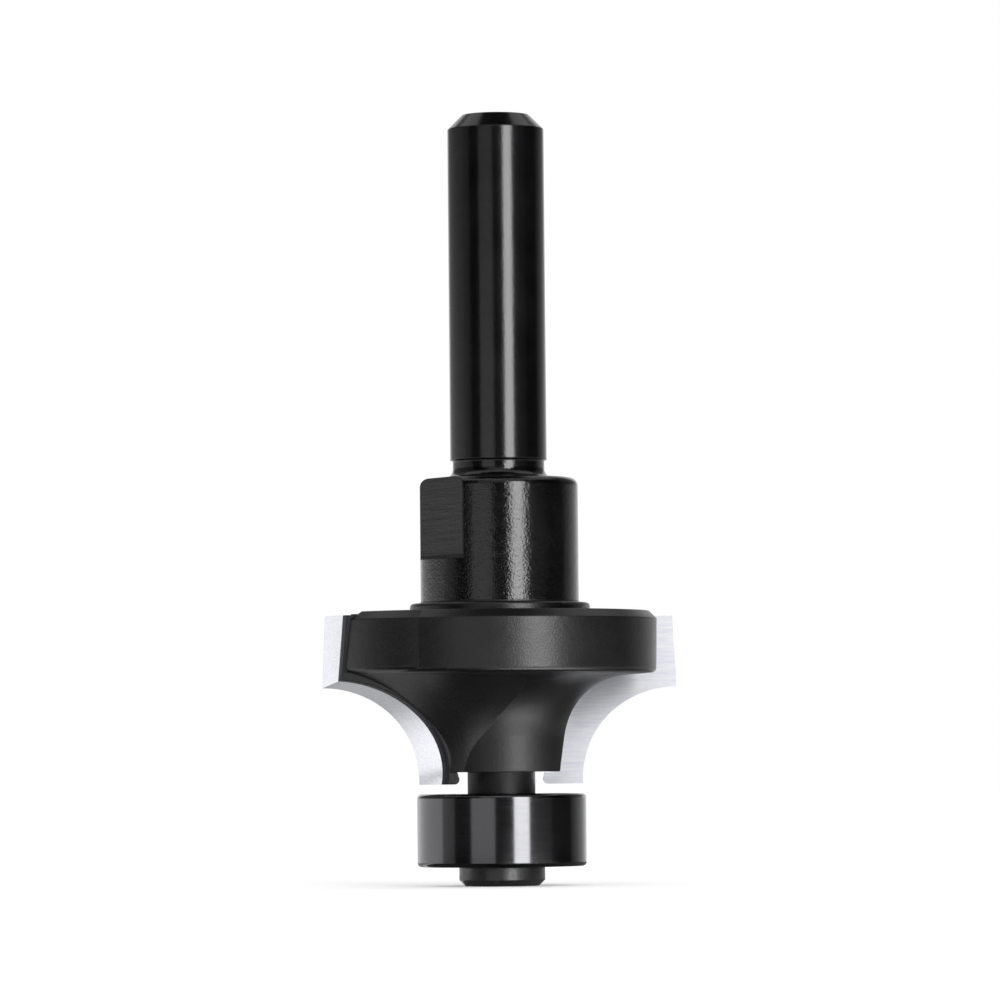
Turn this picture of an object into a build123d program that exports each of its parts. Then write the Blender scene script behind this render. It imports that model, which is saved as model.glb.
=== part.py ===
from build123d import *
from math import atan2, cos, degrees, pi, radians, sin, sqrt, tan
import os

# A round-over router bit with a guide bearing, in millimetres.
#
# The cutter turns about Z. The shank points up, the guide bearing is at the foot, and
# the two brazed carbide tips lie to the right (+X) and the left (-X) of the axis. The
# origin is on the axis, at the lower face of the screw that holds the bearing on.
# Seen from the shank end the cutter turns clockwise, so the right-hand tip faces -Y.

# ---- cutting geometry ---------------------------------------------------------------
cutting_radius = 8.0            # round-over that the bit leaves on the work
bearing_diameter = 14.0         # guide bearing: the cutting arc starts flush with it
tip_drop = 1.0                  # the tips reach this far below the head
tip_height = 13.9               # from the foot of a tip to its upper edge
tip_thickness = 2.4             # carbide
tip_foot_radius = 3.3           # inner end of a tip, from the axis
tip_corner_radius = 0.4         # rounded inner corner at the foot
braze_thickness = 0.1           # silver solder between a tip and its seat
rake_offset = 1.77              # how far the rake face lies behind the axis at its foot
shear_angle = 10.2              # the rake face leans back towards the shank
relief_angle = 12.5             # clearance behind the cutting edge
land_width = 0.3                # steel behind each tip, ground with it

# ---- head ---------------------------------------------------------------------------
head_diameter = 26.0
head_height = 13.2
head_band_height = 5.1          # the straight band round the top of the head
head_rim_chamfer = 0.65
head_rim_radius = 0.4           # lower edge of the band, on the head and on its swells
underside_rise = 0.55           # the band's underside rises towards the rim
flare_radius = 5.0              # between the underside and the core
core_diameter = 11.8
heel_diameter = 23.8            # the swell that backs a tip, struck off centre
heel_shift = 2.6                # its centre lies this far towards the tip
heel_setback = 1.35             # its arc is this much larger than the cutting arc
heel_arc_rise = 0.35            # and its centre is higher and further in
heel_arc_inset = 0.6
gullet_width = 5.35             # chip space in front of each tip
gullet_lean = 18.0              # the gullet's floor leans out towards the shank
gullet_floor_radius = 1.2

# ---- shank, neck, collar, boss and spigot -------------------------------------------
shank_diameter = 8.0
shank_length = 28.7             # the part that the collet grips
shank_chamfer = 1.2
neck_diameter = 7.6             # ground relief between the shank and the collar
neck_length = 1.5
neck_fillet = 0.8               # into the collar
neck_top_fillet = 0.15          # into the shank
collar_diameter = 13.1
collar_height = 10.35
collar_edge_radius = 0.7
wrench_size = 11.0              # across the two flats on the collar
wrench_flat_height = 6.7
wrench_flat_turn = 210.0        # where the first flat faces, in degrees from +X
wrench_corner_radius = 0.35
boss_overhang = 0.9             # the boss stands this far outside the collar
boss_height = 0.75
boss_edge_radius = 0.3
spigot_diameter = 5.6           # shoulder that the bearing seats against
spigot_length = 1.8
journal_chamfer = 0.15

# ---- guide bearing ------------------------------------------------------------------
bearing_bore = 5.0
bearing_width = 6.0
bearing_edge_radius = 0.35
ring_wall = 1.32                # of either ring, at its shoulder
ball_diameter = 2.381
ball_count = 7
ball_clearance = 0.03           # ball to groove
groove_conformity = 1.04        # groove radius over ball radius
journal_clearance = 0.01        # inner ring on its journal
cage_sheet = 0.22
cage_width = 1.2
cage_pocket_clearance = 0.06
rivet_diameter = 0.5
rivet_head_diameter = 0.8
rivet_head_height = 0.15
rivet_clearance = 0.01
shield_thickness = 0.25
shield_depth = 0.3              # from the bearing's face to the shield
shield_seat_depth = 0.3         # groove in the outer ring that holds the shield's rim
shield_gap = 0.12               # shield to inner ring

# ---- retaining screw ----------------------------------------------------------------
thread_diameter = 3.0
screw_length = 9.0              # under the head
screw_head_diameter = 7.1
screw_head_height = 1.6
screw_head_chamfer = 0.5
screw_point_chamfer = 0.4
hex_size = 2.0                  # key size of the socket
hex_depth = 1.3
thread_clearance = 0.02
thread_runout = 1.0             # the hole is this much deeper than the screw
clamp_gap = 0.15                # between the journal's end and the screw head

# ---- sizes and heights that follow --------------------------------------------------
cutting_diameter = bearing_diameter + 2 * cutting_radius
seat_depth = tip_thickness + braze_thickness
heel_depth = seat_depth + land_width
bearing_foot = screw_head_height
bearing_top = bearing_foot + bearing_width
bearing_middle = bearing_foot + bearing_width / 2
head_foot = bearing_top + spigot_length
tip_foot = head_foot - tip_drop
tip_top = tip_foot + tip_height
head_top = head_foot + head_height
band_foot = head_top - head_band_height
collar_foot = head_top + boss_height
collar_top = collar_foot + collar_height
shank_foot = collar_top + neck_length
shank_top = shank_foot + shank_length
pitch_radius = (bearing_diameter + bearing_bore) / 4
boss_diameter = collar_diameter + 2 * boss_overhang
past = 1.0                      # a cutting tool runs this far past the metal

shear = radians(shear_angle)
lean = radians(gullet_lean)


# ---- the sheared planes of a tip ----------------------------------------------------

def rake_plane(depth):
    """Plane parallel to the right-hand rake face, this deep behind it.

    Its X runs along +X, its Y climbs the sheared face and its Z leaves the face.
    """
    return Plane(
        origin=(0, rake_offset + depth / cos(shear), tip_foot),
        x_dir=(1, 0, 0),
        z_dir=(0, -cos(shear), sin(shear)),
    )


def climb(z):
    """Distance up a rake plane to this height."""
    return (z - tip_foot) / cos(shear)


def ground_point(z, depth):
    """Point of the ground edge at this height, this deep behind the rake face.

    The edge keeps clear of the swept profile by more the deeper it lies, all round.
    """
    clearance = depth * tan(radians(relief_angle))
    arc_radius = cutting_radius + clearance
    rise = min(z - tip_foot, arc_radius)
    reach = cutting_diameter / 2 - sqrt(arc_radius**2 - rise**2)
    reach = min(reach, cutting_diameter / 2 - clearance)
    behind = rake_offset + depth / cos(shear) + tan(shear) * (z - tip_foot)
    return (sqrt(reach**2 - behind**2), climb(z))


def tip_outline(depth):
    """Outline of a tip at this depth: ground arc, upper land, top and sloping back."""
    clearance = depth * tan(radians(relief_angle))
    arc_radius = cutting_radius + clearance
    arc_end = sqrt(arc_radius**2 - clearance**2)
    arc_turn = atan2(arc_end, clearance)
    arc_steps = 6
    arc_points = [
        ground_point(tip_foot + arc_radius * sin(arc_turn * step / arc_steps), depth)
        for step in range(arc_steps + 1)
    ]
    top_outer = ground_point(tip_top, depth)
    top_inner = (tip_foot_radius + tan(lean) * tip_height, climb(tip_top))
    foot_inner = (tip_foot_radius, 0)
    with BuildSketch(rake_plane(depth)) as outline:
        with BuildLine():
            Spline(*arc_points)
            Polyline(arc_points[-1], top_outer, top_inner, foot_inner, arc_points[0])
        make_face()
        fillet(outline.vertices().sort_by_distance(foot_inner)[0], tip_corner_radius)
    return outline.sketch


def tip_slice(shallow, deep):
    """Slice of the tip's ground form between two depths behind the rake face."""
    with BuildPart() as ground_slice:
        loft([tip_outline(shallow), tip_outline(deep)], ruled=True)
    return ground_slice.part


# ---- cutter body --------------------------------------------------------------------

with BuildPart() as heel:       # the off-centre swell that backs the left-hand tip
    arc_radius = cutting_radius + heel_setback
    arc_centre = (cutting_diameter / 2 - heel_arc_inset, tip_foot + heel_arc_rise)
    foot_turn = 180 - degrees(atan2(head_foot - arc_centre[1],
                                    sqrt(arc_radius**2 - (head_foot - arc_centre[1])**2)))
    rim_in = arc_centre[0] - heel_diameter / 2
    rim_turn = 180 - degrees(atan2(sqrt(arc_radius**2 - rim_in**2), rim_in))
    with BuildSketch(Plane.XZ) as swell_profile:
        with BuildLine():
            flare_arc = CenterArc(arc_centre, arc_radius, foot_turn, rim_turn - foot_turn)
            Polyline(
                flare_arc @ 1,
                (heel_diameter / 2, head_top - head_rim_chamfer),
                (heel_diameter / 2 - head_rim_chamfer, head_top),
                (0, head_top),
                (0, head_foot),
                flare_arc @ 0,
            )
        make_face()
        fillet(swell_profile.vertices().sort_by_distance(flare_arc @ 1)[0], head_rim_radius)
    revolve(axis=Axis.Z)
    # only the side behind its own tip is kept
    split(bisect_by=Plane.XZ, keep=Keep.TOP)

with BuildPart() as gullet:     # chip space in front of the right-hand tip
    floor_plane = Plane(
        origin=(tip_foot_radius, 0, tip_foot),
        x_dir=(0, 1, 0),
        z_dir=(cos(lean), 0, -sin(lean)),
    )
    low = -tip_drop
    high = head_top + past - tip_foot
    with BuildSketch(floor_plane):
        with BuildLine():
            Polyline(
                (rake_offset + tan(shear) * low, low / cos(lean)),
                (rake_offset + tan(shear) * high, high / cos(lean)),
                (rake_offset + tan(shear) * high - gullet_width, high / cos(lean)),
                (rake_offset + tan(shear) * low - gullet_width, low / cos(lean)),
                close=True,
            )
        make_face()
    extrude(amount=cutting_diameter, dir=(1, 0, 0))
    floor_corner = gullet.edges().sort_by_distance(
        (tip_foot_radius, rake_offset - gullet_width, tip_foot))[0]
    fillet(floor_corner, gullet_floor_radius)

with BuildPart() as seat:       # clears the head for the right-hand tip and its land
    high = climb(head_top + past)
    low = climb(tip_foot - past)
    with BuildSketch(rake_plane(0)):
        with BuildLine():
            Polyline(
                (tip_foot_radius + tan(lean) * low * cos(shear), low),
                (tip_foot_radius + tan(lean) * high * cos(shear), high),
                (cutting_diameter, high),
                (cutting_diameter, low),
                close=True,
            )
        make_face()
    extrude(amount=heel_depth / cos(shear), dir=(0, 1, 0))

with BuildPart() as wrench_gap:     # the metal that one wrench flat takes off the collar
    with BuildSketch(Plane.XY.offset(collar_top - wrench_flat_height)):
        with Locations((wrench_size / 2, 0)):
            Rectangle(collar_diameter, collar_diameter, align=(Align.MIN, Align.CENTER))
    extrude(amount=wrench_flat_height + neck_length)
    root_edge = wrench_gap.edges().filter_by(Axis.Y).group_by(Axis.Z)[0].sort_by(Axis.X)[0]
    fillet(root_edge, wrench_corner_radius)

with BuildPart() as cutter_body:
    with BuildSketch(Plane.XZ) as turned_profile:
        with BuildLine():
            Polyline(
                (0, bearing_foot + clamp_gap),
                (bearing_bore / 2 - journal_clearance, bearing_foot + clamp_gap),
                (bearing_bore / 2 - journal_clearance, bearing_top),
                (spigot_diameter / 2, bearing_top),
                (spigot_diameter / 2, head_foot),
                (core_diameter / 2, head_foot),
                (core_diameter / 2, band_foot - underside_rise),
                (head_diameter / 2, band_foot),
                (head_diameter / 2, head_top),
                (boss_diameter / 2, head_top),
                (boss_diameter / 2, collar_foot),
                (collar_diameter / 2, collar_foot),
                (collar_diameter / 2, collar_top),
                (neck_diameter / 2, collar_top),
                (neck_diameter / 2, shank_foot),
                (shank_diameter / 2, shank_foot),
                (shank_diameter / 2, shank_top),
                (0, shank_top),
                close=True,
            )
        make_face()

        def corner(diameter, height):
            """The profile's corner at this diameter and height."""
            return turned_profile.vertices().sort_by_distance((diameter / 2, height))[0]

        chamfer(corner(bearing_bore, bearing_foot + clamp_gap), journal_chamfer)
        fillet(corner(core_diameter, band_foot - underside_rise), flare_radius)
        fillet(corner(head_diameter, band_foot), head_rim_radius)
        chamfer(corner(head_diameter, head_top), head_rim_chamfer)
        fillet(corner(boss_diameter, collar_foot), boss_edge_radius)
        fillet(corner(collar_diameter, collar_top), collar_edge_radius)
        fillet(corner(neck_diameter, collar_top), neck_fillet)
        fillet(corner(neck_diameter, shank_foot), neck_top_fillet)
        chamfer(corner(shank_diameter, shank_top), shank_chamfer)
    revolve(axis=Axis.Z)

    # two swells, tip seats, ground lands and gullets, half a turn apart
    for turn in (0, 180):
        add(heel.part.moved(Location((-heel_shift, 0, 0))).rotate(Axis.Z, turn))
    for turn in (0, 180):
        add(seat.part.rotate(Axis.Z, turn), mode=Mode.SUBTRACT)
    for turn in (0, 180):
        add(tip_slice(seat_depth, heel_depth).rotate(Axis.Z, turn))
    for turn in (0, 180):
        add(gullet.part.rotate(Axis.Z, turn), mode=Mode.SUBTRACT)

    # two flats on the collar take a wrench
    for turn in (wrench_flat_turn, wrench_flat_turn + 180):
        add(wrench_gap.part.rotate(Axis.Z, turn), mode=Mode.SUBTRACT)

    # blind threaded hole for the retaining screw, left plain at the thread's diameter
    with BuildSketch(Plane.XY.offset(bearing_foot)):
        Circle(thread_diameter / 2 + thread_clearance)
    extrude(amount=screw_length + thread_runout, mode=Mode.SUBTRACT)
cutter_body.part.label = "cutter_body"


# ---- carbide tips and the solder under them -----------------------------------------

tip_pieces = []
for number, turn in ((1, 0), (2, 180)):
    with BuildPart() as carbide_tip:
        add(tip_slice(0, tip_thickness).rotate(Axis.Z, turn))
    carbide_tip.part.label = f"carbide_tip_{number}"
    with BuildPart() as braze:
        add(tip_slice(tip_thickness, seat_depth).rotate(Axis.Z, turn))
    braze.part.label = f"braze_{number}"
    tip_pieces += [carbide_tip.part, braze.part]


# ---- guide bearing ------------------------------------------------------------------

groove_radius = ball_diameter / 2 * groove_conformity
groove_reach = ball_diameter / 2 + ball_clearance       # ball centre to groove bottom
inner_shoulder = bearing_bore / 2 + ring_wall
outer_shoulder = bearing_diameter / 2 - ring_wall
shield_inner = inner_shoulder + shield_gap
shield_outer = outer_shoulder + shield_seat_depth

with BuildPart() as inner_ring:
    with BuildSketch(Plane.XZ):
        with Locations(((bearing_bore / 2 + inner_shoulder) / 2, bearing_middle)):
            inner_section = Rectangle(ring_wall, bearing_width)
        fillet(inner_section.vertices().group_by(Axis.X)[0], bearing_edge_radius / 2)
        with Locations((pitch_radius - groove_reach + groove_radius, bearing_middle)):
            Circle(groove_radius, mode=Mode.SUBTRACT)
    revolve(axis=Axis.Z)
inner_ring.part.label = "bearing_inner_ring"

with BuildPart() as outer_ring:
    with BuildSketch(Plane.XZ) as outer_section:
        with Locations(((bearing_diameter / 2 + outer_shoulder) / 2, bearing_middle)):
            Rectangle(ring_wall, bearing_width)
        fillet(outer_section.vertices().group_by(Axis.X)[-1], bearing_edge_radius)
        with Locations((pitch_radius + groove_reach - groove_radius, bearing_middle)):
            Circle(groove_radius, mode=Mode.SUBTRACT)
        # rim grooves that hold the shields
        shield_offset = bearing_width / 2 - shield_depth - shield_thickness / 2
        with Locations(
            (outer_shoulder, bearing_middle - shield_offset),
            (outer_shoulder, bearing_middle + shield_offset),
        ):
            Rectangle(2 * shield_seat_depth, shield_thickness, mode=Mode.SUBTRACT)
    revolve(axis=Axis.Z)
outer_ring.part.label = "bearing_outer_ring"

ball_pieces = []
for number in range(ball_count):
    with BuildPart() as ball:
        with PolarLocations(pitch_radius, 1, start_angle=360 / ball_count * number):
            with Locations((0, 0, bearing_middle)):
                Sphere(ball_diameter / 2)
    ball.part.label = f"ball_{number + 1}"
    ball_pieces.append(ball.part)

pocket_radius = ball_diameter / 2 + cage_pocket_clearance
rivet_start = 180 / ball_count

with BuildPart() as cage_upper:
    # a flat ribbon between the rings, domed over every ball
    with BuildSketch(Plane.XY.offset(bearing_middle)) as ribbon:
        Circle(pitch_radius + cage_width / 2)
        Circle(pitch_radius - cage_width / 2, mode=Mode.SUBTRACT)
    extrude(amount=cage_sheet)
    with PolarLocations(pitch_radius, ball_count):
        with Locations((0, 0, bearing_middle)):
            Sphere(pocket_radius + cage_sheet)
    extrude(ribbon.sketch, amount=bearing_width / 2, mode=Mode.INTERSECT)
    with PolarLocations(pitch_radius, ball_count):
        with Locations((0, 0, bearing_middle)):
            Sphere(pocket_radius, mode=Mode.SUBTRACT)
    with BuildSketch(Plane.XY.offset(bearing_middle)):
        with PolarLocations(pitch_radius, ball_count, start_angle=rivet_start):
            Circle(rivet_diameter / 2 + rivet_clearance)
    extrude(amount=cage_sheet, mode=Mode.SUBTRACT)
cage_upper.part.label = "cage_upper"

with BuildPart() as cage_lower:
    mirror(cage_upper.part, about=Plane.XY.offset(bearing_middle))
cage_lower.part.label = "cage_lower"

with BuildPart() as cage_rivets:
    with BuildSketch(Plane.XY.offset(bearing_middle - cage_sheet)):
        with PolarLocations(pitch_radius, ball_count, start_angle=rivet_start):
            Circle(rivet_diameter / 2)
    extrude(amount=2 * cage_sheet)
    for side in (1, -1):
        with BuildSketch(Plane.XY.offset(bearing_middle + side * cage_sheet)):
            with PolarLocations(pitch_radius, ball_count, start_angle=rivet_start):
                Circle(rivet_head_diameter / 2)
        extrude(amount=side * rivet_head_height)
cage_rivets.part.label = "cage_rivets"

shield_pieces = []
for name, side in (("shield_lower", -1), ("shield_upper", 1)):
    shield_middle = bearing_middle + side * shield_offset
    with BuildPart() as shield:
        with BuildSketch(Plane.XY.offset(shield_middle - shield_thickness / 2)):
            Circle(shield_outer)
            Circle(shield_inner, mode=Mode.SUBTRACT)
        extrude(amount=shield_thickness)
    shield.part.label = name
    shield_pieces.append(shield.part)


# ---- retaining screw ----------------------------------------------------------------

with BuildPart() as retaining_screw:
    with BuildSketch(Plane.XZ) as screw_profile:
        with BuildLine():
            Polyline(
                (0, 0),
                (screw_head_diameter / 2, 0),
                (screw_head_diameter / 2, screw_head_height),
                (thread_diameter / 2, screw_head_height),
                (thread_diameter / 2, screw_head_height + screw_length),
                (0, screw_head_height + screw_length),
                close=True,
            )
        make_face()
        head_edge = screw_profile.vertices().sort_by_distance((screw_head_diameter / 2, 0))[0]
        chamfer(head_edge, screw_head_chamfer)
        point_edge = screw_profile.vertices().sort_by_distance(
            (thread_diameter / 2, screw_head_height + screw_length))[0]
        chamfer(point_edge, screw_point_chamfer)
    revolve(axis=Axis.Z)
    with BuildSketch(Plane.XY):
        RegularPolygon(hex_size / 2, 6, major_radius=False)
    extrude(amount=hex_depth, mode=Mode.SUBTRACT)
retaining_screw.part.label = "retaining_screw"


# ---- one file for each piece --------------------------------------------------------

pieces = [
    cutter_body.part,
    *tip_pieces,
    inner_ring.part,
    outer_ring.part,
    *ball_pieces,
    cage_upper.part,
    cage_lower.part,
    cage_rivets.part,
    *shield_pieces,
    retaining_screw.part,
]
os.makedirs("parts", exist_ok=True)
for piece in pieces:
    export_step(piece, f"parts/{piece.label}.step")
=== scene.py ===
from math import atan, cos, pi, radians, sin, tan

import bmesh
import bpy
from mathutils import Matrix, Vector


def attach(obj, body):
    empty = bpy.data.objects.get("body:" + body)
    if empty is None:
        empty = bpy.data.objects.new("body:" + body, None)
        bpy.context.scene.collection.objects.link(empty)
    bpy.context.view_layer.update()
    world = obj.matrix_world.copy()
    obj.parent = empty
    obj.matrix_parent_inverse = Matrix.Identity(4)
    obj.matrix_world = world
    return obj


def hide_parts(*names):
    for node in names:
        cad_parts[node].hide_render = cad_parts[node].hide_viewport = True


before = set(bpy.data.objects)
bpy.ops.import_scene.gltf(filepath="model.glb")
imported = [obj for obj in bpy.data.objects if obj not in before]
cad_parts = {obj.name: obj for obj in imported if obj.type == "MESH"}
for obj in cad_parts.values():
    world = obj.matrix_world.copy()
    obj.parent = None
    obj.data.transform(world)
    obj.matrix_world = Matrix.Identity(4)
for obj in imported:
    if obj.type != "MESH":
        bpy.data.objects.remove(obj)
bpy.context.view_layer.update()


# ---- the view ------------------------------------------------------------------------
# A long lens stands half a metre off, level with the guide bearing, and looks slightly
# up the bit, so the boss and the shank's end are seen a little from below.

eye_height = 0.0093
eye_distance = 0.5
eye_offset = 0.0001                 # to the right of the bit's axis
sensor_width = 36
picture_width = 1000                # pixels
pixels_per_metre = 12080            # at the bit's axis
middle_height = 0.03191             # what the middle of the picture looks at
lean_of_the_bit = radians(0.54)     # the bit stands a hair off plumb in the picture

camera = bpy.data.objects.new("view", bpy.data.cameras.new("view"))
bpy.context.collection.objects.link(camera)
camera.data.sensor_width = sensor_width
camera.data.lens = pixels_per_metre * eye_distance * sensor_width / picture_width
pitch = atan((middle_height - eye_height) / eye_distance)
ahead = Vector((0, cos(pitch), sin(pitch)))
roll = Matrix.Rotation(-lean_of_the_bit, 3, -ahead)
across = roll @ Vector((1, 0, 0))
upward = roll @ Vector((1, 0, 0)).cross(ahead)
stand = Matrix.Translation((eye_offset, -eye_distance, eye_height))
camera.matrix_world = stand @ Matrix((across, upward, -ahead)).transposed().to_4x4()
bpy.context.scene.camera = camera


# ---- cutter body ---------------------------------------------------------------------
# One steel turning with a black coat: ground and glossy on the shank, turned on the
# collar, milled on the wrench flats and satin on the head. The narrow lands behind the
# tips are ground with the carbide after coating, so they are bare.

def srgb(code):
    """Linear colour of an sRGB hex code."""
    parts = [int(code[i:i + 2], 16) / 255 for i in (1, 3, 5)]
    return (*[p / 12.92 if p <= 0.04045 else ((p + 0.055) / 1.055) ** 2.4
              for p in parts], 1)


def add_node(material, kind, sockets, **settings):
    """Adds a node. A socket's value is a number, a colour or the output linked to it."""
    made = material.node_tree.nodes.new(kind)
    for name, value in settings.items():
        setattr(made, name, value)
    for name, value in sockets.items():
        if isinstance(value, bpy.types.NodeSocket):
            material.node_tree.links.new(value, made.inputs[name])
        else:
            made.inputs[name].default_value = value
    return made


def new_finish(name):
    """An empty material with its surface shader, and the place on the part in mm."""
    material = bpy.data.materials.new(name)
    material.use_nodes = True
    surface = material.node_tree.nodes["Principled BSDF"]
    place = add_node(material, "ShaderNodeTexCoord", {})
    in_mm = add_node(material, "ShaderNodeVectorMath",
                     {0: place.outputs["Object"], "Scale": 1000}, operation="SCALE")
    return material, surface, in_mm.outputs[0]


def fit(socket, source):
    """Links an output to a socket of the node that owns it."""
    socket.id_data.links.new(source, socket)


def give(node_name, material):
    """Puts a finish on every material slot of a CAD node."""
    for cad_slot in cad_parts[node_name].material_slots:
        cad_slot.material = material


# nearly black: the shank mirrors the room in crisp upright bands, and the head only
# catches a soft sheen
coated, surface, in_mm = new_finish("black_coated_steel_ground_turned_and_satin")
surface.inputs["IOR"].default_value = 1.58
axes = add_node(coated, "ShaderNodeSeparateXYZ", {0: in_mm})
height = axes.outputs["Z"]

# the finish changes with height. Each zone has its roughness, then the depth of its
# waviness and the depth of its grit, as shares of relief_depth
body_length = 64.0                  # mm
relief_depth = 0.00005              # metres
zones = (                           # each from this height, in mm
    (0.0, 0.48, 0.40, 0.20),        # spigot
    (9.4, 0.40, 0.30, 0.18),        # flare, satin
    (17.3, 0.30, 0.30, 0.18),       # head, satin
    (23.3, 0.11, 0.40, 0.30),       # collar, turned
    (33.7, 0.12, 0.40, 0.12),       # neck
    (35.2, 0.14, 0.15, 0.06),       # shank, ground
)
by_height = add_node(coated, "ShaderNodeMath", {0: height, 1: body_length},
                     operation="DIVIDE")
zone_ramp = add_node(coated, "ShaderNodeValToRGB", {0: by_height.outputs[0]})
zone_ramp.color_ramp.interpolation = "CONSTANT"
for number, (foot, *finish) in enumerate(zones):
    if number < 2:
        stop = zone_ramp.color_ramp.elements[number]
        stop.position = foot / body_length
    else:
        stop = zone_ramp.color_ramp.elements.new(foot / body_length)
    stop.color = (*finish, 1)
zone = add_node(coated, "ShaderNodeSeparateColor", {0: zone_ramp.outputs[0]})

# the two wrench flats lie 5.5 mm from the axis, between these heights in mm
flat_turn = radians(210)
flat_reach = 5.45
flat_foot = 26.95
flat_top = 33.8
along_flat = add_node(coated, "ShaderNodeVectorMath",
                      {0: in_mm, 1: (cos(flat_turn), sin(flat_turn), 0)},
                      operation="DOT_PRODUCT")
from_axis = add_node(coated, "ShaderNodeMath", {0: along_flat.outputs["Value"]},
                     operation="ABSOLUTE")
beyond = add_node(coated, "ShaderNodeMath", {0: from_axis.outputs[0], 1: flat_reach},
                  operation="GREATER_THAN")
above_foot = add_node(coated, "ShaderNodeMath", {0: height, 1: flat_foot},
                      operation="GREATER_THAN")
below_top = add_node(coated, "ShaderNodeMath", {0: height, 1: flat_top},
                     operation="LESS_THAN")
at_their_height = add_node(coated, "ShaderNodeMath",
                           {0: above_foot.outputs[0], 1: below_top.outputs[0]},
                           operation="MULTIPLY")
on_flat = add_node(coated, "ShaderNodeMath",
                   {0: beyond.outputs[0], 1: at_their_height.outputs[0]},
                   operation="MULTIPLY")

shear = radians(10.2)               # the rake faces lean back by this much
tip_foot = (3.3, 1.77, 8.4)         # inner end of the right-hand rake face, in mm


def behind_rake_face(material, in_mm):
    """The place seen from a tip's foot, and how far it lies behind the rake face, in mm.
    Both tips are folded onto the right-hand one."""
    axes = add_node(material, "ShaderNodeSeparateXYZ", {0: in_mm})
    side = add_node(material, "ShaderNodeMath", {0: axes.outputs["X"]}, operation="SIGN")
    fold = add_node(material, "ShaderNodeCombineXYZ",
                    {"X": side.outputs[0], "Y": side.outputs[0], "Z": 1})
    folded = add_node(material, "ShaderNodeVectorMath", {0: in_mm, 1: fold.outputs[0]},
                      operation="MULTIPLY")
    from_foot = add_node(material, "ShaderNodeVectorMath",
                         {0: folded.outputs[0], 1: tip_foot}, operation="SUBTRACT")
    depth = add_node(material, "ShaderNodeVectorMath",
                     {0: from_foot.outputs[0], 1: (0, cos(shear), -sin(shear))},
                     operation="DOT_PRODUCT")
    return from_foot.outputs[0], depth.outputs["Value"]


# the bare lands: between these depths behind the rake faces, and outside the plane that
# leans out along the core
solder_back = 2.45
land_back = 2.79
core_lean = radians(18)
core_clearance = 0.02
from_foot, depth = behind_rake_face(coated, in_mm)
past_solder = add_node(coated, "ShaderNodeMath", {0: depth, 1: solder_back},
                       operation="GREATER_THAN")
before_back = add_node(coated, "ShaderNodeMath", {0: depth, 1: land_back},
                       operation="LESS_THAN")
outward = add_node(coated, "ShaderNodeVectorMath",
                   {0: from_foot, 1: (1, 0, -tan(core_lean))}, operation="DOT_PRODUCT")
clear_of_core = add_node(coated, "ShaderNodeMath",
                         {0: outward.outputs["Value"], 1: core_clearance},
                         operation="GREATER_THAN")
within_land = add_node(coated, "ShaderNodeMath",
                       {0: past_solder.outputs[0], 1: before_back.outputs[0]},
                       operation="MULTIPLY")
on_land = add_node(coated, "ShaderNodeMath",
                   {0: within_land.outputs[0], 1: clear_of_core.outputs[0]},
                   operation="MULTIPLY")

# the coat is not quite even: it has soft clouds, a waviness, and a grit that is finer
# than this on the real thing, drawn 0.15 mm across so that it shows. Sizes in mm
cloud_size = 4
wave_size = 0.8
grit_size = 0.15
clouds = add_node(coated, "ShaderNodeTexNoise",
                  {"Vector": in_mm, "Scale": 1 / cloud_size, "Detail": 3,
                   "Roughness": 0.55})
waviness = add_node(coated, "ShaderNodeTexNoise",
                    {"Vector": in_mm, "Scale": 1 / wave_size, "Detail": 3,
                     "Roughness": 0.7})
grit = add_node(coated, "ShaderNodeTexNoise",
                {"Vector": in_mm, "Scale": 1 / grit_size, "Detail": 1, "Roughness": 0.5})
coat_tone = add_node(coated, "ShaderNodeValToRGB", {0: clouds.outputs["Fac"]})
coat_tone.color_ramp.elements[0].position = 0.35
coat_tone.color_ramp.elements[0].color = srgb("#030304")
coat_tone.color_ramp.elements[1].position = 0.7
coat_tone.color_ramp.elements[1].color = srgb("#0a0a0c")
tone = add_node(coated, "ShaderNodeMixRGB",
                {"Fac": on_land.outputs[0], "Color1": coat_tone.outputs[0],
                 "Color2": srgb("#505056")})
fit(surface.inputs["Base Color"], tone.outputs[0])
fit(surface.inputs["Metallic"], on_land.outputs[0])

# the cutter leaves level marks on the milled flats, 5 mm long and drawn 0.3 mm apart so
# that they show
mark_length = 5
mark_spacing = 0.3
mark_stretch = add_node(coated, "ShaderNodeVectorMath",
                        {0: in_mm, 1: (1 / mark_length, 1 / mark_length,
                                       1 / mark_spacing)}, operation="MULTIPLY")
mill_marks = add_node(coated, "ShaderNodeTexNoise",
                      {"Vector": mark_stretch.outputs[0], "Scale": 1, "Detail": 3,
                       "Roughness": 0.6})

# the milled flats are rougher than the turned collar, and the clouds vary it all a little
flat_roughness = 0.34
cloud_roughness = 0.07
rough = add_node(coated, "ShaderNodeMath",
                 {0: on_flat.outputs[0], 1: flat_roughness, 2: zone.outputs["Red"]},
                 operation="MULTIPLY_ADD")
rough = add_node(coated, "ShaderNodeMath",
                 {0: clouds.outputs["Fac"], 1: cloud_roughness, 2: rough.outputs[0]},
                 operation="MULTIPLY_ADD")
fit(surface.inputs["Roughness"], rough.outputs[0])

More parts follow.
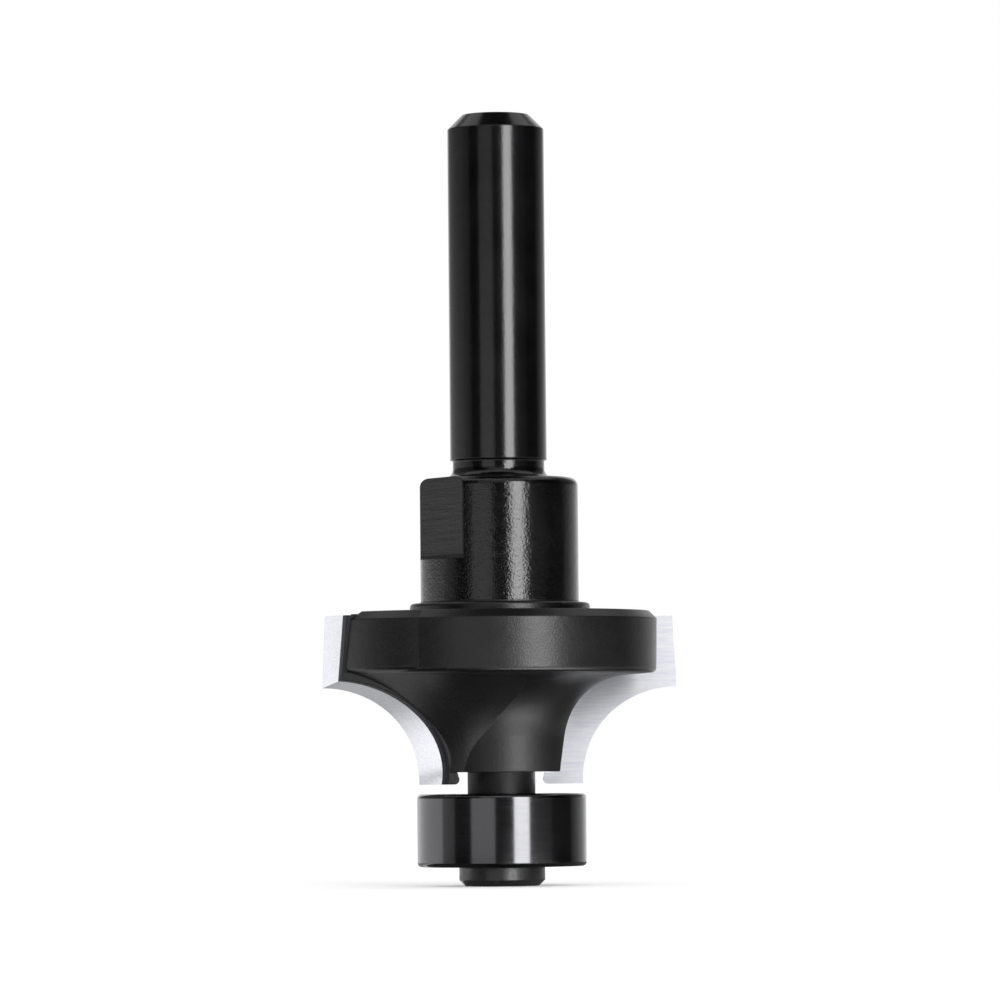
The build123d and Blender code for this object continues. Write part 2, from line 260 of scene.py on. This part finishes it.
mark_height = add_node(coated, "ShaderNodeMath",
                       {0: mill_marks.outputs["Fac"], 1: on_flat.outputs[0]},
                       operation="MULTIPLY")
relief = add_node(coated, "ShaderNodeMath",
                  {0: waviness.outputs["Fac"], 1: zone.outputs["Green"],
                   2: mark_height.outputs[0]}, operation="MULTIPLY_ADD")
relief = add_node(coated, "ShaderNodeMath",
                  {0: grit.outputs["Fac"], 1: zone.outputs["Blue"],
                   2: relief.outputs[0]}, operation="MULTIPLY_ADD")
edge_radius = 0.00015               # metres: the coat softens every sharp edge
soft_edges = add_node(coated, "ShaderNodeBevel", {"Radius": edge_radius}, samples=6)
coat_relief = add_node(coated, "ShaderNodeBump",
                       {"Height": relief.outputs[0], "Strength": 1.0,
                        "Distance": relief_depth, "Normal": soft_edges.outputs[0]})
fit(surface.inputs["Normal"], coat_relief.outputs[0])
give("cutter_body", coated)


# ---- carbide tips --------------------------------------------------------------------
# Two pieces of tungsten carbide, ground on the rake face, round the arc and up the edge.
# They are soldered on their seats and overhang the steel all round.

# a pale, slightly blue metal: an even sheen on the rake faces, brighter round the arc
carbide, surface, in_mm = new_finish("tungsten_carbide_fine_ground")
surface.inputs["Metallic"].default_value = 1

# the rake faces are lapped to a soft sheen, and the arc and the edges behind them are
# ground brighter
rake_roughness = 0.37
ground_roughness = 0.2
from_foot, depth = behind_rake_face(carbide, in_mm)
carbide_polish = add_node(carbide, "ShaderNodeMapRange",
                          {"Value": depth, "From Min": 0.01, "From Max": 0.02,
                           "To Min": rake_roughness, "To Max": ground_roughness})
fit(surface.inputs["Roughness"], carbide_polish.outputs[0])

# level scratches 2 mm long, finer on the real thing and drawn 6 to a millimetre
scratch_depth = 0.000002
along_edge = add_node(carbide, "ShaderNodeVectorMath",
                      {0: in_mm, 1: (1 / 2, 6, 6)}, operation="MULTIPLY")
scratches = add_node(carbide, "ShaderNodeTexNoise",
                     {"Vector": along_edge.outputs[0], "Scale": 1, "Detail": 3,
                      "Roughness": 0.6})
carbide_tone = add_node(carbide, "ShaderNodeValToRGB", {0: scratches.outputs["Fac"]})
carbide_tone.color_ramp.elements[0].position = 0.3
carbide_tone.color_ramp.elements[0].color = srgb("#e4e7f2")
carbide_tone.color_ramp.elements[1].position = 0.7
carbide_tone.color_ramp.elements[1].color = srgb("#f8f8fa")
fit(surface.inputs["Base Color"], carbide_tone.outputs[0])
scratch_bump = add_node(carbide, "ShaderNodeBump",
                        {"Height": scratches.outputs["Fac"], "Strength": 1.0,
                         "Distance": scratch_depth})
fit(surface.inputs["Normal"], scratch_bump.outputs[0])
for tip in ("carbide_tip_1", "carbide_tip_2"):
    give(tip, carbide)


# ---- silver solder -------------------------------------------------------------------
# A tenth of a millimetre of silver solder joins each tip to its seat. It is softer and
# yellower than the carbide, and dull where the flux was cleaned off.

# a dull, yellowish line round the back of each tip
solder, surface, in_mm = new_finish("silver_solder_flux_cleaned")
surface.inputs["Metallic"].default_value = 1
surface.inputs["Roughness"].default_value = 0.42
ripple_size = 0.3                   # mm
ripple = add_node(solder, "ShaderNodeTexNoise",
                  {"Vector": in_mm, "Scale": 1 / ripple_size, "Detail": 2,
                   "Roughness": 0.5})
solder_tone = add_node(solder, "ShaderNodeValToRGB", {0: ripple.outputs["Fac"]})
solder_tone.color_ramp.elements[0].color = srgb("#4a4640")
solder_tone.color_ramp.elements[1].color = srgb("#6e695f")
fit(surface.inputs["Base Color"], solder_tone.outputs[0])
for layer in ("braze_1", "braze_2"):
    give(layer, solder)


# ---- guide bearing: rings and balls --------------------------------------------------
# A 14 mm ball bearing in hardened chromium steel. The rings are ground and honed, so
# they mirror the room in upright bands, and the balls are lapped brighter still.

# a dark mirror whose upright bands have slightly soft edges
ring_steel, surface, in_mm = new_finish("bearing_steel_ground_and_honed")
surface.inputs["Metallic"].default_value = 1
surface.inputs["Base Color"].default_value = srgb("#5e5e60")
hone_length = 2.5                   # mm, along the ring
hone_spacing = 0.12                 # coarser than the real marks, so that they show
hone_depth = 0.00000005             # metres
hone_stretch = add_node(ring_steel, "ShaderNodeVectorMath",
                        {0: in_mm, 1: (1 / hone_length, 1 / hone_length,
                                       1 / hone_spacing)}, operation="MULTIPLY")
honing = add_node(ring_steel, "ShaderNodeTexNoise",
                  {"Vector": hone_stretch.outputs[0], "Scale": 1, "Detail": 2,
                   "Roughness": 0.5})
hone_polish = add_node(ring_steel, "ShaderNodeMapRange",
                       {"Value": honing.outputs["Fac"], "From Min": 0.3, "From Max": 0.7,
                        "To Min": 0.11, "To Max": 0.15})
fit(surface.inputs["Roughness"], hone_polish.outputs[0])
hone_bump = add_node(ring_steel, "ShaderNodeBump",
                     {"Height": honing.outputs["Fac"], "Strength": 1.0,
                      "Distance": hone_depth})
fit(surface.inputs["Normal"], hone_bump.outputs[0])
for ring in ("bearing_inner_ring", "bearing_outer_ring"):
    give(ring, ring_steel)

# bright mirror beads with a breath of haze
ball_steel, surface, in_mm = new_finish("bearing_steel_lapped")
surface.inputs["Metallic"].default_value = 1
surface.inputs["Base Color"].default_value = srgb("#c4c4c6")
haze_size = 0.5                     # mm
haze = add_node(ball_steel, "ShaderNodeTexNoise",
                {"Vector": in_mm, "Scale": 1 / haze_size, "Detail": 2,
                 "Roughness": 0.5})
ball_polish = add_node(ball_steel, "ShaderNodeMapRange",
                       {"Value": haze.outputs["Fac"], "From Min": 0.3, "From Max": 0.7,
                        "To Min": 0.03, "To Max": 0.06})
fit(surface.inputs["Roughness"], ball_polish.outputs[0])
ball_count = 7
for number in range(1, ball_count + 1):
    give(f"ball_{number}", ball_steel)


# ---- guide bearing: cage -------------------------------------------------------------
# Two ribbons pressed from thin steel strip, domed over the balls and riveted together
# between them. The press leaves the sheet dull, with a faint grain.

# a warm, dull grey with a fine grain
cage_sheet, surface, in_mm = new_finish("steel_strip_cold_rolled_and_pressed")
surface.inputs["Metallic"].default_value = 1
surface.inputs["Roughness"].default_value = 0.36
grain_size = 0.12                   # mm
strip_grain = add_node(cage_sheet, "ShaderNodeTexNoise",
                       {"Vector": in_mm, "Scale": 1 / grain_size, "Detail": 3,
                        "Roughness": 0.6})
strip_tone = add_node(cage_sheet, "ShaderNodeValToRGB", {0: strip_grain.outputs["Fac"]})
strip_tone.color_ramp.elements[0].color = srgb("#8b8983")
strip_tone.color_ramp.elements[1].color = srgb("#b3b0a8")
fit(surface.inputs["Base Color"], strip_tone.outputs[0])
for sheet in ("cage_upper", "cage_lower", "cage_rivets"):
    give(sheet, cage_sheet)


# ---- guide bearing: shields ----------------------------------------------------------
# A thin pressed ring closes each side of the bearing. Its rim is crimped in the outer
# ring's groove, its face is dished, and its inner lip turns in beside the inner ring.

bearing_foot = 1.6                  # mm
bearing_top = 7.6
shield_recess = 0.3                 # each shield lies this far inside the rings' sides
shield_steps = 96
shield_section = (                  # radius, and depth behind the shield's face, in mm
    (5.98, 0.10), (5.80, 0.01), (5.50, 0.01), (5.34, 0.10), (4.34, 0.10), (4.20, 0.01),
    (4.02, 0.01), (3.95, 0.07), (3.95, 0.24), (4.05, 0.24), (4.06, 0.13), (4.16, 0.12),
    (4.29, 0.21), (5.39, 0.21), (5.54, 0.12), (5.78, 0.12), (5.98, 0.24),
)

# mid grey, with fine rings round the axis
shield_sheet, surface, in_mm = new_finish("steel_sheet_pressed_satin")
surface.inputs["Metallic"].default_value = 1
surface.inputs["Base Color"].default_value = srgb("#9a9a9c")
flat_place = add_node(shield_sheet, "ShaderNodeVectorMath", {0: in_mm, 1: (1, 1, 0)},
                      operation="MULTIPLY")
from_centre = add_node(shield_sheet, "ShaderNodeVectorMath", {0: flat_place.outputs[0]},
                       operation="LENGTH")
turning_spacing = 0.08              # mm
turning = add_node(shield_sheet, "ShaderNodeTexNoise",
                   {"W": from_centre.outputs["Value"], "Scale": 1 / turning_spacing,
                    "Detail": 2}, noise_dimensions="1D")
sheet_polish = add_node(shield_sheet, "ShaderNodeMapRange",
                        {"Value": turning.outputs["Fac"], "From Min": 0.3,
                         "From Max": 0.7, "To Min": 0.22, "To Max": 0.36})
fit(surface.inputs["Roughness"], sheet_polish.outputs[0])

weld_distance = 1e-6
crease_angle = radians(35)


def finish_mesh(name, mesh_maker, material):
    """Turns a bmesh into a smooth-shaded object with outward faces and one material."""
    bmesh.ops.remove_doubles(mesh_maker, verts=mesh_maker.verts, dist=weld_distance)
    bmesh.ops.recalc_face_normals(mesh_maker, faces=mesh_maker.faces)
    mesh = bpy.data.meshes.new(name)
    mesh_maker.to_mesh(mesh)
    mesh_maker.free()
    mesh.shade_smooth()
    mesh.set_sharp_from_angle(angle=crease_angle)
    mesh.materials.append(material)
    made = bpy.data.objects.new(name, mesh)
    bpy.context.collection.objects.link(made)
    return made


for name, face_height, inward in (("shield_lower", bearing_foot + shield_recess, 1),
                                  ("shield_upper", bearing_top - shield_recess, -1)):
    pressing = bmesh.new()
    corners = [pressing.verts.new((r / 1000, 0, (face_height + inward * z) / 1000))
               for r, z in shield_section]
    outline = [pressing.edges.new((corners[i - 1], corners[i]))
               for i in range(len(corners))]
    bmesh.ops.spin(pressing, geom=corners + outline, cent=(0, 0, 0), axis=(0, 0, 1),
                   angle=2 * pi, steps=shield_steps, use_merge=True)
    shield = finish_mesh(f"pressed_{name}", pressing, shield_sheet)
    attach(shield, "bearing_outer")
    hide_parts(name)


# ---- retaining screw -----------------------------------------------------------------
# An M3 cap screw in blackened steel holds the bearing on its journal. The head has a
# turned chamfer and a 2 mm hexagon socket with a drilled, cone-shaped bottom.

screw_head_radius = 0.00355
screw_face_radius = 0.00305
screw_head_height = 0.0016
screw_chamfer = 0.0005
head_edge = 0.0001                  # small chamfer under the bearing
socket_apothem = 0.001
socket_mouth = 0.00008              # chamfer round the socket's mouth
socket_depth = 0.0013
socket_drill = 0.96                 # radius of the drilled bottom, over the apothem
socket_cone = 0.0004
cone_tip = 0.00005
core_radius = 0.00122
crest_radius = 0.00149
ridge_sink = 0.00005                # the thread's ridge stands this deep in the core
thread_pitch = 0.0005
thread_start = 0.0021
thread_end = 0.0103
screw_end = 0.0106
point_chamfer = 0.0004
sides = 48
steps_per_turn = 24

# a soft black with a low, even sheen
blackened, surface, in_mm = new_finish("screw_steel_black_oxide_satin")
surface.inputs["IOR"].default_value = 1.8
soot_size = 0.4                     # mm
soot = add_node(blackened, "ShaderNodeTexNoise",
                {"Vector": in_mm, "Scale": 1 / soot_size, "Detail": 4,
                 "Roughness": 0.6})
soot_tone = add_node(blackened, "ShaderNodeValToRGB", {0: soot.outputs["Fac"]})
soot_tone.color_ramp.elements[0].color = srgb("#1b1b1c")
soot_tone.color_ramp.elements[1].color = srgb("#2e2e30")
fit(surface.inputs["Base Color"], soot_tone.outputs[0])
soot_polish = add_node(blackened, "ShaderNodeMapRange",
                       {"Value": soot.outputs["Fac"], "From Min": 0.3, "From Max": 0.7,
                        "To Min": 0.26, "To Max": 0.38})
fit(surface.inputs["Roughness"], soot_polish.outputs[0])


def ring_up(ring_edges, radius, level, hexagon=False):
    """Extrudes a ring of edges to a new radius and height, round or six-sided."""
    new = bmesh.ops.extrude_edge_only(screw, edges=ring_edges)["geom"]
    edges = [e for e in new if isinstance(e, bmesh.types.BMEdge)]
    loop = {v for e in edges for v in e.verts}
    edges = [e for e in edges if all(v in loop for v in e.verts)]
    for v in loop:
        turn = Vector((v.co.x, v.co.y)).angle_signed(Vector((1, 0)), 0)
        reach = radius
        if hexagon:
            reach = radius / cos((turn % (pi / 3)) - pi / 6)
        v.co = Vector((cos(turn) * reach, sin(turn) * reach, level))
    return edges


# the outside grows from the rim of the head's lower face, and so does the socket
screw = bmesh.new()
bmesh.ops.create_circle(screw, cap_ends=False, segments=sides, radius=screw_face_radius)
rim_edges = screw.edges[:]
outer = ring_up(rim_edges, screw_head_radius, screw_chamfer)
outer = ring_up(outer, screw_head_radius, screw_head_height - head_edge)
outer = ring_up(outer, screw_head_radius - head_edge, screw_head_height)
outer = ring_up(outer, core_radius, screw_head_height)
outer = ring_up(outer, core_radius, screw_end - point_chamfer)
outer = ring_up(outer, core_radius - point_chamfer, screw_end)
bmesh.ops.edgeloop_fill(screw, edges=outer)
inner = ring_up(rim_edges, socket_apothem + socket_mouth, 0, hexagon=True)
inner = ring_up(inner, socket_apothem, socket_mouth, hexagon=True)
inner = ring_up(inner, socket_apothem, socket_depth, hexagon=True)
inner = ring_up(inner, socket_apothem * socket_drill, socket_depth)
inner = ring_up(inner, cone_tip, socket_depth + socket_cone)
bmesh.ops.edgeloop_fill(screw, edges=inner)

# the thread: a ridge section carried round and up, a pitch each turn
turns = (thread_end - thread_start) / thread_pitch
steps = int(turns * steps_per_turn)
ridge_section = (                   # radius, and height as a share of the pitch
    (core_radius - ridge_sink, -0.42), (crest_radius, -0.07),
    (crest_radius, 0.07), (core_radius - ridge_sink, 0.42),
)
ridge = [screw.verts.new((r, 0, thread_start + share * thread_pitch))
         for r, share in ridge_section]
ridge_edges = [screw.edges.new(pair) for pair in zip(ridge, ridge[1:])]
bmesh.ops.spin(screw, geom=ridge + ridge_edges, cent=(0, 0, 0), axis=(0, 0, 1),
               dvec=(0, 0, (thread_end - thread_start) / steps), angle=2 * pi * turns,
               steps=steps)
cap_screw = finish_mesh("socket_cap_screw", screw, blackened)
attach(cap_screw, "cutter")
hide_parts("retaining_screw")


# ---- floor, reflector cards and lamps ------------------------------------------------
# A pale table in a white room. Cards stand round the bit and over it, lie on the table,
# and show only in polished surfaces, which would otherwise mirror nothing but white.

def seen_outright(material):
    """One for the rays that show the thing itself or mirror it, nought for the light
    that it gives."""
    rays = add_node(material, "ShaderNodeLightPath", {})
    seen = add_node(material, "ShaderNodeMath",
                    {0: rays.outputs["Is Camera Ray"], 1: rays.outputs["Is Glossy Ray"]},
                    operation="MAXIMUM")
    seen = add_node(material, "ShaderNodeMath",
                    {0: seen.outputs[0], 1: rays.outputs["Is Transmission Ray"]},
                    operation="MAXIMUM")
    return seen.outputs[0]


# plain white without any sheen, lit up a little so that it meets the white room
paper, surface, in_mm = new_finish("white_paper_matt")
surface.inputs["Roughness"].default_value = 1
surface.inputs["Specular IOR Level"].default_value = 0
surface.inputs["Emission Color"].default_value = (1, 1, 1, 1)
fibre_size = 2                      # mm
fibre = add_node(paper, "ShaderNodeTexNoise",
                 {"Vector": in_mm, "Scale": 1 / fibre_size, "Detail": 2})
fibre_tone = add_node(paper, "ShaderNodeValToRGB", {0: fibre.outputs["Fac"]})
fibre_tone.color_ramp.elements[0].color = srgb("#eeeeee")
fibre_tone.color_ramp.elements[1].color = srgb("#f0f0f0")
fit(surface.inputs["Base Color"], fibre_tone.outputs[0])
paper_glow = 0.36
glow = add_node(paper, "ShaderNodeMath", {0: seen_outright(paper), 1: paper_glow},
                operation="MULTIPLY")
fit(surface.inputs["Emission Strength"], glow.outputs[0])

table = bmesh.new()
bmesh.ops.create_circle(table, cap_ends=True, segments=96, radius=4)
floor = finish_mesh("floor", table, paper)
floor.visible_glossy = False        # the table cards stand in for it in polished steel
floor.visible_shadow = False

room = bpy.data.worlds.new("white_room")
bpy.context.scene.world = room
room.use_nodes = True
walls = room.node_tree.nodes["Background"]
walls.inputs["Color"].default_value = (1, 1, 1, 1)
level = add_node(room, "ShaderNodeMapRange",
                 {"Value": seen_outright(room), "To Min": 0.75, "To Max": 1.0})
fit(walls.inputs["Strength"], level.outputs[0])

# sections of the cards, as pairs of radius and height that are carried round the axis
room_radius = 1.0
card_foot = -0.04               # below the table, which polished surfaces don't mirror
low_card = 0.035
lamp_level = 0.35
card_top = 1.0
near_table = 0.06
lid_radius = 0.4
wall = ((room_radius, card_foot), (room_radius, card_top))
low_wall = ((room_radius, card_foot), (room_radius, low_card))
upper_wall = ((room_radius, low_card), (room_radius, card_top))
below_lamp = ((room_radius, card_foot), (room_radius, lamp_level))
above_lamp = ((room_radius, lamp_level), (room_radius, card_top))
beside_bit = ((0, 0), (near_table, 0))
far_table = ((near_table, 0), (room_radius, card_foot))
glow_patch = ((0.020, 0.0002), (0.045, 0.0002))
overhead = ((0, card_top), (lid_radius, card_top))
overhead_rim = ((lid_radius, card_top), (room_radius, card_top))
cards = (       # from, to in degrees right of the camera, section, brightness at each end
    ("card_low_left", -155, -88, low_wall, 1.2, 1.2),
    ("card_far_left", -155, -88, upper_wall, 0.62, 0.50),
    ("card_left_edge", -88, -67, wall, 0.45, 0.28),
    ("card_left_gap", -67, -42, wall, 0.03, 0.03),
    ("card_left", -42, -9, below_lamp, 0.85, 0.85),
    ("card_above_left", -42, -9, above_lamp, 0.03, 0.03),
    ("card_middle", -9, 15.5, wall, 0.02, 0.02),
    ("card_behind_lamp", 15.5, 40, wall, 0.10, 0.10),
    ("card_right", 40, 72, wall, 0.18, 0.10),
    ("card_right_gap", 72, 108, wall, 0.03, 0.03),
    ("card_far_right", 108, 155, wall, 0.10, 0.95),
    ("card_table_behind", -180, -155, beside_bit, 0.16, 0.28),
    ("card_table_far_left", -155, -114, beside_bit, 0.45, 0.42),
    ("card_table_left_edge", -114, -90, beside_bit, 0.42, 1.50),
    ("card_table_left", -90, 0, beside_bit, 0.12, 0.03),
    ("card_table_right", 0, 180, beside_bit, 0.03, 0.24),
    ("card_table_left_half", -180, 0, far_table, 0.60, 0.60),
    ("card_table_right_half", 0, 180, far_table, 0.60, 0.60),
    ("card_glow_rising", -8, 26, glow_patch, 0.2, 4.8),
    ("card_glow_falling", 26, 75, glow_patch, 4.8, 0.2),
    ("card_overhead_left", -180, 0, overhead, 0.03, 0.03),
    ("card_overhead_right", 0, 180, overhead, 0.03, 0.03),
    ("card_rim_left", -180, 0, overhead_rim, 2.4, 2.4),
    ("card_rim_right", 0, 180, overhead_rim, 2.4, 2.4),
)
fade_foot = 0.06                # above this height a card darkens,
fade_top = 0.2                  # and from this height on it keeps only
fade_share = 0.3                # this share of its brightness
card_steps = 24


def reflector(name, sheet, start, end, near, far):
    """A card that only polished surfaces mirror. Its brightness goes from near to far
    between its start and its end, and it darkens towards its top."""
    card_paper = bpy.data.materials.new(name)
    card_paper.use_nodes = True
    card_paper.node_tree.nodes.clear()
    place = add_node(card_paper, "ShaderNodeTexCoord", {})
    axes = add_node(card_paper, "ShaderNodeSeparateXYZ", {0: place.outputs["Object"]})
    ahead = add_node(card_paper, "ShaderNodeMath", {0: axes.outputs["Y"], 1: -1},
                     operation="MULTIPLY")
    turn = add_node(card_paper, "ShaderNodeMath",
                    {0: axes.outputs["X"], 1: ahead.outputs[0]}, operation="ARCTAN2")
    level = add_node(card_paper, "ShaderNodeMapRange",
                     {"Value": turn.outputs[0], "From Min": radians(start),
                      "From Max": radians(end), "To Min": near, "To Max": far})
    fade = add_node(card_paper, "ShaderNodeMapRange",
                    {"Value": axes.outputs["Z"], "From Min": fade_foot,
                     "From Max": fade_top, "To Min": 1, "To Max": fade_share})
    shine = add_node(card_paper, "ShaderNodeMath",
                     {0: level.outputs[0], 1: fade.outputs[0]}, operation="MULTIPLY")
    shine = add_node(card_paper, "ShaderNodeEmission",
                     {"Color": (1, 1, 1, 1), "Strength": shine.outputs[0]})
    add_node(card_paper, "ShaderNodeOutputMaterial", {"Surface": shine.outputs[0]})
    card = finish_mesh(name, sheet, card_paper)
    card.visible_camera = False
    card.visible_diffuse = False
    card.visible_shadow = False


for name, start, end, section, near, far in cards:
    sheet = bmesh.new()
    turn = radians(start)
    ends = [sheet.verts.new((reach * sin(turn), -reach * cos(turn), level))
            for reach, level in section]
    edge = sheet.edges.new(ends)
    bmesh.ops.spin(sheet, geom=ends + [edge], cent=(0, 0, 0), axis=(0, 0, 1),
                   angle=radians(end - start), steps=card_steps)
    reflector(name, sheet, start, end, near, far)

aim_height = 0.03               # on the bit's axis
lamp_distance = 0.9
softbox_tall = 0.9
softbox_width = 2 * lamp_distance * tan(radians(10.6))


def soft_lamp(name, turn, rise, width, tall, radiance):
    """A rectangular soft lamp aimed at the bit, bright enough for this radiance."""
    lamp = bpy.data.lights.new(name, "AREA")
    lamp.shape = "RECTANGLE"
    lamp.size = width
    lamp.size_y = tall
    lamp.energy = radiance * pi * width * tall
    holder = bpy.data.objects.new(name, lamp)
    bpy.context.collection.objects.link(holder)
    holder.matrix_world = (Matrix.Translation((0, 0, aim_height))
                           @ Matrix.Rotation(radians(turn), 4, "Z")
                           @ Matrix.Rotation(radians(90 - rise), 4, "X")
                           @ Matrix.Translation((0, 0, lamp_distance)))
    holder.visible_camera = False


# a tall softbox to the right of the camera, 21 degrees wide as the bit sees it, and a
# wide, weak one above the camera
soft_lamp("softbox_right", turn=27.2, rise=0, width=softbox_width, tall=softbox_tall,
          radiance=7.4)
soft_lamp("softbox_above", turn=0, rise=31, width=0.9, tall=0.5, radiance=0.40)

bpy.context.scene.view_settings.view_transform = "Standard"
